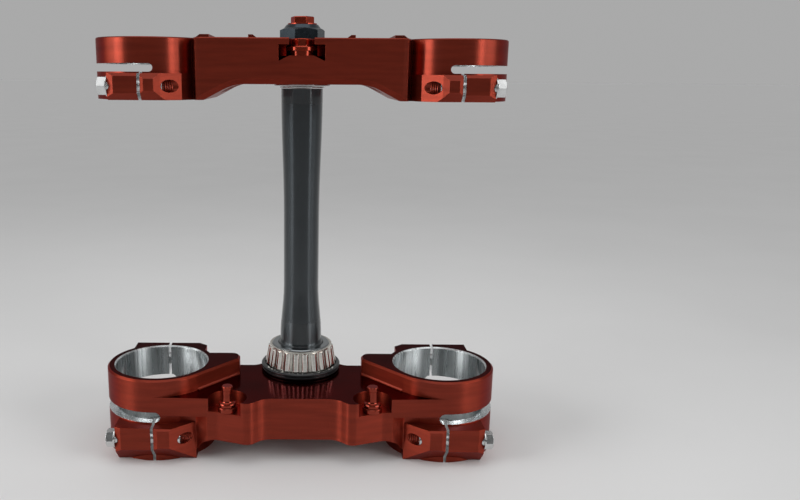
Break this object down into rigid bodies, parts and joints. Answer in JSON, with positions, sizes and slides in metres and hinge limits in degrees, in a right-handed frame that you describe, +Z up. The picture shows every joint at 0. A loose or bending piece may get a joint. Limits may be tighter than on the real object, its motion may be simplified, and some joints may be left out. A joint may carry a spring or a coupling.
{
  "type": "motorcycle triple clamp",
  "caption": "Pair of red anodised fork clamps with split, bolted rings, joined by a black tapered steering stem with its lower roller bearing and top nut.",
  "frame": {"origin": "centre of the object's base, midway between the two fork axes, on the surface that the lower clamp stands on", "axes": "+X to the right hand of the picture, across the motorcycle; -Y to its front and +Y to its rear; +Z up along the stem, from the lower clamp to the upper clamp"},
  "size_m": [0.2556, 0.0912, 0.2767],
  "materials": {
    "red_anodised": "deep red anodised, bead-blasted satin, with bare machined bores",
    "black_stem": "gloss black anodised, turned",
    "black_oxide": "blue-grey black oxide",
    "red_plug": "bright red anodised",
    "seal_black": "black moulded rubber",
    "plated_steel": "bright zinc plated",
    "bearing_steel": "ground and polished",
    "bearing_cage": "pressed steel with a brassy tint"
  },
  "bodies": {
    "clamp_assembly": {"lower_clamp": "red_anodised", "upper_clamp": "red_anodised", "steering_stem": "black_stem", "stem_nut": "black_oxide", "stem_plug": "red_plug", "upper_dust_cap": "seal_black", "upper_collar": "plated_steel", "bearing_inner_race": "bearing_steel", "bearing_dust_seal": "seal_black", "lower_front_bolt_left": "plated_steel", "lower_front_bolt_right": "plated_steel", "lower_rear_bolt_left": "plated_steel", "lower_rear_bolt_right": "plated_steel", "upper_front_bolt_left": "plated_steel", "upper_front_bolt_right": "plated_steel", "upper_rear_bolt_left": "plated_steel", "upper_rear_bolt_right": "plated_steel", "plate_post_left": "red_anodised", "plate_post_right": "red_anodised", "pocket_plug": "red_plug"},
    "roller_set": {"bearing_cage": "bearing_cage", "bearing_rollers": "bearing_steel"}
  },
  "joints": [
    {"name": "roller_spin", "type": "hinge", "parent": "clamp_assembly", "child": "roller_set", "pos_m": [0, 0.02, 0.0535], "axis": [0, 0, 1], "continuous": true}
  ]
}
